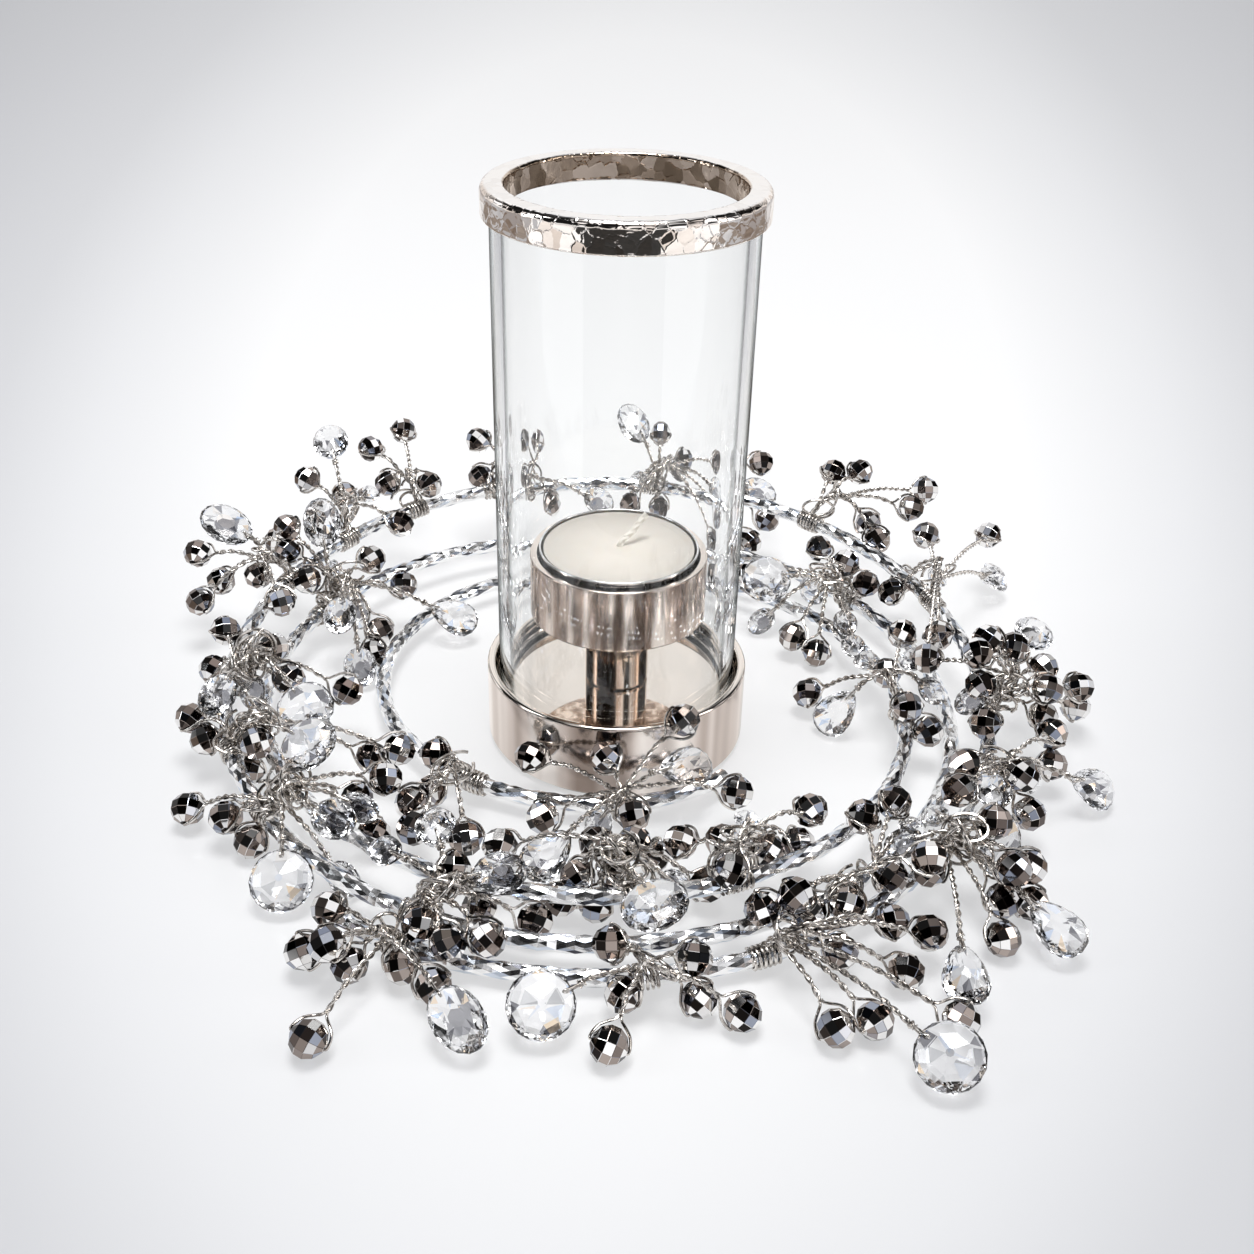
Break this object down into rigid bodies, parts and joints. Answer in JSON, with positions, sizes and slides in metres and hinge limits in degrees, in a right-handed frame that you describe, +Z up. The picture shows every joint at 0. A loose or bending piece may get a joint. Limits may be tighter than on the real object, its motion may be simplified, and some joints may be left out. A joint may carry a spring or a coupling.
{
  "type": "tealight holder",
  "caption": "Tealight holder: polished metal base, stem and cup in a glass chimney with a metal rim, ringed by a loose wreath of wound wire with beaded sprays and cut crystals.",
  "frame": {"origin": "under the middle of the base, on the surface that the felt pad rests on", "axes": "+Z up along the chimney, -Y towards the side that the picture shows as the front, +X to the right"},
  "size_m": [0.2448, 0.2393, 0.1391],
  "materials": {
    "nickel": "polished warm nickel plate, the rim hammered",
    "zinc": "plain zinc plate",
    "felt": "dark pressed felt",
    "chimney_glass": "clear drawn glass, fire-polished edges",
    "can_aluminium": "thin drawn aluminium",
    "wax": "pale candle wax, faintly translucent",
    "cotton": "waxed braided cotton",
    "silver_wire": "bright silver wire, the garland wrapped in crinkled foil",
    "hematite": "dark mirror-coated faceted beads on twisted silver wire",
    "crystal": "clear cut crystal with sharp facets"
  },
  "bodies": {
    "holder": {"felt_pad": "felt", "base_dish": "nickel", "stem": "nickel", "base_screw": "zinc", "cup": "nickel", "cup_screw": "zinc"},
    "tealight": {"tealight_can": "can_aluminium", "wax": "wax", "wick": "cotton", "wick_tab": "zinc"},
    "chimney": {"glass_tube": "chimney_glass", "rim_ring": "nickel"},
    "wreath": {"garland_wire": "silver_wire", "spray_front_left": "hematite", "spray_front": "hematite", "spray_front_right": "hematite", "spray_right_front": "hematite", "spray_right": "hematite", "spray_right_back": "hematite", "spray_back_right_low": "hematite", "spray_back_right_high": "hematite", "spray_back": "hematite", "spray_back_left_low": "hematite", "spray_back_left_high": "hematite", "spray_left_back_high": "hematite", "spray_left_high": "hematite", "spray_left": "hematite", "spray_left_low": "hematite", "spray_left_front": "hematite", "spray_front_left_mid": "hematite", "spray_front_right_low": "hematite", "spray_back_right_inner": "hematite", "spray_left_back": "hematite", "spray_front_mid": "hematite", "spray_front_right_mid": "hematite", "spray_right_inner": "hematite", "spray_front_left_inner": "hematite", "spray_front_inner": "hematite", "crystal_front_left": "crystal", "crystal_front": "crystal", "crystal_front_right": "crystal", "crystal_right_front": "crystal", "crystal_right_front_2": "crystal", "crystal_right": "crystal", "crystal_right_2": "crystal", "crystal_right_back": "crystal", "crystal_back_right_low": "crystal", "crystal_back": "crystal", "crystal_left_back_high": "crystal", "crystal_left_high": "crystal", "crystal_left": "crystal", "crystal_left_low": "crystal", "crystal_left_front": "crystal", "crystal_back_right_inner": "crystal", "crystal_left_back": "crystal", "crystal_left_back_2": "crystal", "crystal_front_mid": "crystal", "crystal_right_inner": "crystal", "crystal_front_inner": "crystal", "crystal_front_inner_2": "crystal"}
  },
  "joints": [
    {"name": "chimney_lift", "type": "slide", "parent": "holder", "child": "chimney", "axis": [0, 0, 1], "range_m": [0, 0.06]},
    {"name": "tealight_lift", "type": "slide", "parent": "holder", "child": "tealight", "axis": [0, 0, 1], "range_m": [0, 0.11]},
    {"name": "wreath_lift", "type": "slide", "parent": "holder", "child": "wreath", "axis": [0, 0, 1], "range_m": [0, 0.14]}
  ]
}
